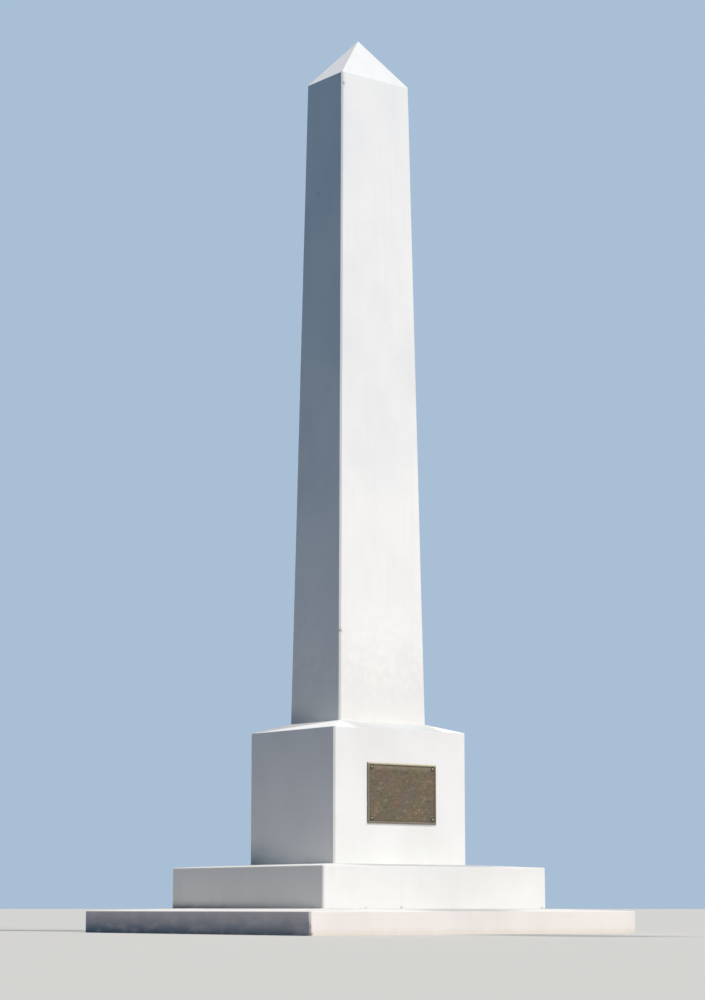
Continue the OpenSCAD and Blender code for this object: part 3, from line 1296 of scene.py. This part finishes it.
    def _make_rosette(self, corner: Corner, bronze: bpy.types.Material) -> None:
        """Makes one rosette on its bolt, as a turned profile with soft lobes.

        Args:
            corner: which of the four it is.
            bronze: its material.
        """
        low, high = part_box(corner.value)
        seat = high.y - low.y - (self.flange_t + self.dome_h)
        mesh = bmesh.new()
        relief_and_highlight, foot = (mesh.verts.layers.float.new(layer.value)
                        for layer in (Layer.RELIEF_AND_HIGHLIGHT, Layer.DIRT_AND_SHADE))
        profile = self._rosette_profile(seat)
        verts = [mesh.verts.new((radius, 0.0, level)) for radius, level in profile]
        edges = [mesh.edges.new(pair) for pair in zip(verts, verts[1:])]
        bmesh.ops.spin(mesh, geom=verts + edges, cent=(0, 0, 0), axis=(0, 0, 1), angle=math.tau,
                       steps=self.facets, use_merge=True)
        bmesh.ops.remove_doubles(mesh, verts=mesh.verts, dist=WELD)
        bmesh.ops.recalc_face_normals(mesh, faces=mesh.faces)
        mesh.normal_update()
        rim = seat + self.flange_t
        dome_r = self.rosette_r - self.flange_w
        for vert in mesh.verts:
            across = vert.co.xy.length
            if vert.co.z > rim + TOUCH and across > TOUCH:
                petal = 0.5 - 0.5 * math.cos(self.lobes * math.atan2(vert.co.y, vert.co.x))
                halfway = math.sin(math.pi * clamp(across / dome_r)) ** self.lobe_fall
                vert.co.z -= self.lobe_depth * petal * halfway
            # Brighter where the dome looks up: painted highlight
            bright = clamp(self.bright_dome + self.dome_top_highlight * vert.normal.y)
            vert[relief_and_highlight] = bright if vert.co.z > seat else 0.0
            # Darker round the foot of the dome: painted shade
            dirty = clamp(1 - abs(across - dome_r) / self.flange_w)
            vert[foot] = dirty if vert.co.z < rim else 0.0
        self._stand(mesh, low, high)
        name = f"{corner.value}_casting"
        make_piece(name, mesh, bronze, (corner.value,), self.crease)


# Where a lamp hangs, in metres from the middle. Only its direction counts
LAMP_DISTANCE = 20.0


@dataclass(frozen=True)
class Lamp:
    """Lamp so far away that its rays are parallel."""

    name: str
    # Direction in degrees: towards +X from the front, and above the ground
    azimuth: float
    height: float
    # Light in watts per square metre, and the width of the lamp in degrees, which softens shadows
    strength: float
    angle: float
    colour: str = "#FFFFFF"

    def hang(self) -> None:
        """Adds the lamp to the scene."""
        data = bpy.data.lights.new(self.name, "SUN")
        data.energy = self.strength
        data.angle = math.radians(self.angle)
        data.color = linear(self.colour)[:3]
        turn, lift = math.radians(self.azimuth), math.radians(self.height)
        level = math.cos(lift)
        towards = Vector((math.sin(turn) * level, -math.cos(turn) * level, math.sin(lift)))
        lamp = bpy.data.objects.new(self.name, data)
        lamp.location = LAMP_DISTANCE * towards
        lamp.rotation_euler = towards.to_track_quat("Z", "Y").to_euler()
        bpy.context.scene.collection.objects.link(lamp)


@dataclass
class Studio:
    """Plain floor and backdrop, three far lamps, soft fill, and the camera of the photograph."""

    # A sun, a low light on the faces that front it, and a steep one from behind on the ledges
    lamps: tuple[Lamp, ...] = (
        Lamp("key", 17.5, 50.0, 2.05, 3.0),
        Lamp("front", 1.0, 6.0, 1.21, 12.0, "#FFF8EF"),
        Lamp("back", 180.0, 66.0, 1.82, 6.0, "#FFF6F2"),
    )
    fill: str = "#A4D8FF"
    fill_strength: float = 0.19
    backdrop: str = "#A9BFD6"
    # Half the side of the floor, and how far the camera sees, in metres
    floor_half: float = 400.0
    sight: float = 2000.0
    # Frame width and lens in millimetres, and where the camera stands, in metres
    film: float = 36.0
    lens: float = 88.57
    stand: tuple[float, float, float] = (-17.1601, -21.8031, 0.2769)
    # Degrees by which the camera turns towards +X, tilts up and rolls
    yaw: float = 38.078
    pitch: float = 9.407
    roll: float = -0.023

    def build(self) -> None:
        """Sets up everything round the object."""
        self._floor()
        self._sky()
        for lamp in self.lamps:
            lamp.hang()
        self._camera()

    def _floor(self) -> None:
        """Lays the floor under the object."""
        mesh = bmesh.new()
        bmesh.ops.create_grid(mesh, x_segments=1, y_segments=1, size=self.floor_half)
        data = bpy.data.meshes.new("studio_floor")
        mesh.to_mesh(data)
        mesh.free()
        data.materials.append(StudioFloor().build())
        floor = bpy.data.objects.new("studio_floor", data)
        bpy.context.scene.collection.objects.link(floor)

    def _sky(self) -> None:
        """Gives the camera a pale backdrop, and the object a weak, cool fill."""
        world = bpy.data.worlds.new("studio_fill")
        world.use_nodes = True
        tree = world.node_tree
        tree.nodes.clear()
        fill = add_node(tree, "ShaderNodeBackground", {
            "Color": linear(self.fill), "Strength": self.fill_strength,
        })
        backdrop = add_node(tree, "ShaderNodeBackground", {
            "Color": linear(self.backdrop), "Strength": 1.0,
        })
        mixed = add_node(tree, "ShaderNodeMixShader", {
            0: showing_rays(tree), 1: fill.outputs["Background"], 2: backdrop.outputs["Background"],
        })
        add_node(tree, "ShaderNodeOutputWorld", {"Surface": mixed.outputs["Shader"]})
        bpy.context.scene.world = world

    def _camera(self) -> None:
        """Places the camera where the photograph was taken."""
        data = bpy.data.cameras.new("camera")
        data.sensor_width = self.film
        data.lens = self.lens
        data.clip_end = self.sight
        camera = bpy.data.objects.new("camera", data)
        camera.location = self.stand
        turns = (90 + self.pitch, self.roll, -self.yaw)
        camera.rotation_euler = [math.radians(turn) for turn in turns]
        bpy.context.scene.collection.objects.link(camera)
        bpy.context.scene.camera = camera


def main() -> None:
    """Loads the frame, dresses each part of the obelisk and lights it."""
    logging.basicConfig(level=logging.INFO, format="%(name)s: %(message)s")
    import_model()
    Studio().build()
    Steps().make()
    Die().make()
    Shaft().make()
    Tablet().make()
    bpy.context.scene.view_settings.view_transform = "Standard"


if __name__ == "__main__":
    main()
